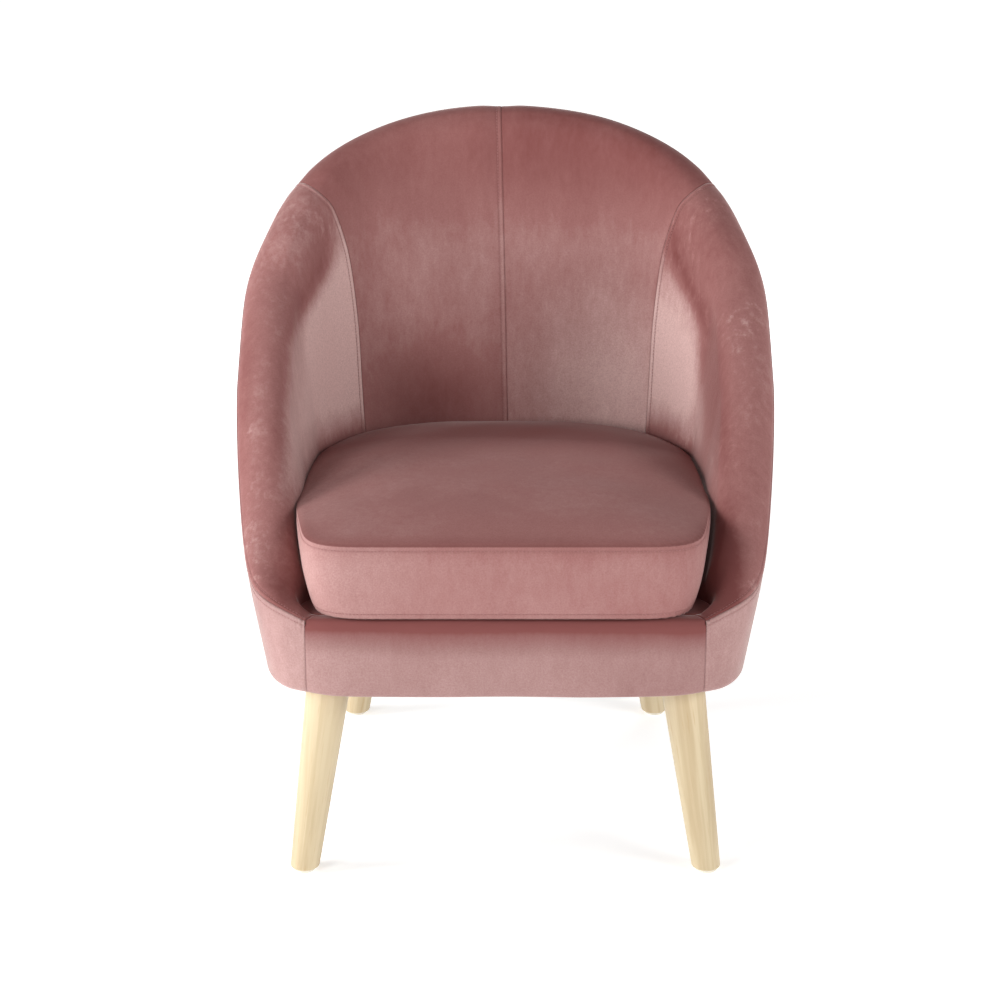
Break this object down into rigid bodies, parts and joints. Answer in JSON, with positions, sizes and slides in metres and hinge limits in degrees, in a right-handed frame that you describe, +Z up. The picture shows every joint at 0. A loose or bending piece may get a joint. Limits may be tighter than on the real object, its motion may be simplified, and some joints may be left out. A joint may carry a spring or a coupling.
{
  "type": "armchair",
  "caption": "Round-back tub armchair with a padded wraparound shell, rolled rim, loose D-shaped seat cushion and splayed turned wooden legs.",
  "frame": {"origin": "centre of the footprint at floor level, under the middle of the bounding box", "axes": "+Z up, -Y to the front of the seat, +X to the sitter's left, which is the right of the front view"},
  "size_m": [0.649, 0.605, 0.823],
  "materials": {
    "velvet": "dusty rose velvet pile",
    "lining": "black non-woven cloth",
    "foam": "open-cell seat foam",
    "wadding": "polyester wadding",
    "plywood": "raw plywood",
    "timber": "sawn softwood",
    "leg_wood": "pale satin hardwood",
    "steel": "zinc-plated steel",
    "glide_plastic": "pale matte nylon"
  },
  "bodies": {
    "chair": {"arm_foam_left": "foam", "arm_foam_right": "foam", "arm_plywood_left": "plywood", "arm_plywood_right": "plywood", "back_foam": "foam", "back_plywood": "plywood", "back_wadding": "wadding", "base_board": "plywood", "corner_block_front_left": "timber", "corner_block_front_right": "timber", "corner_block_rear_left": "timber", "corner_block_rear_right": "timber", "deck_cloth": "velvet", "deck_pad": "foam", "dust_cloth": "lining", "front_foam": "foam", "front_rail": "timber", "front_rail_cover": "velvet", "glide_front_left": "glide_plastic", "glide_front_right": "glide_plastic", "glide_rear_left": "glide_plastic", "glide_rear_right": "glide_plastic", "hanger_bolt_front_left": "steel", "hanger_bolt_front_right": "steel", "hanger_bolt_rear_left": "steel", "hanger_bolt_rear_right": "steel", "inside_arm_cover_left": "velvet", "inside_arm_cover_right": "velvet", "inside_back_cover_left": "velvet", "inside_back_cover_right": "velvet", "leg_front_left": "leg_wood", "leg_front_right": "leg_wood", "leg_rear_left": "leg_wood", "leg_rear_right": "leg_wood", "outside_back_cover": "velvet", "outside_cover_left": "velvet", "outside_cover_right": "velvet", "rear_rail": "timber", "seat_spring_middle_left": "steel", "seat_spring_middle_right": "steel", "seat_spring_outer_left": "steel", "seat_spring_outer_right": "steel", "side_rail_left": "timber", "side_rail_right": "timber", "side_wadding_left": "wadding", "side_wadding_right": "wadding", "tee_nut_front_left": "steel", "tee_nut_front_right": "steel", "tee_nut_rear_left": "steel", "tee_nut_rear_right": "steel"},
    "seat_cushion": {"cushion_foam": "foam", "cushion_top_panel": "velvet", "cushion_bottom_panel": "velvet", "cushion_band": "velvet", "cushion_zip_panel": "velvet", "cushion_zip_slider": "steel"}
  },
  "joints": [
    {"name": "cushion_lift", "type": "slide", "parent": "chair", "child": "seat_cushion", "axis": [0, 0, 1], "range_m": [0, 0.51]}
  ]
}
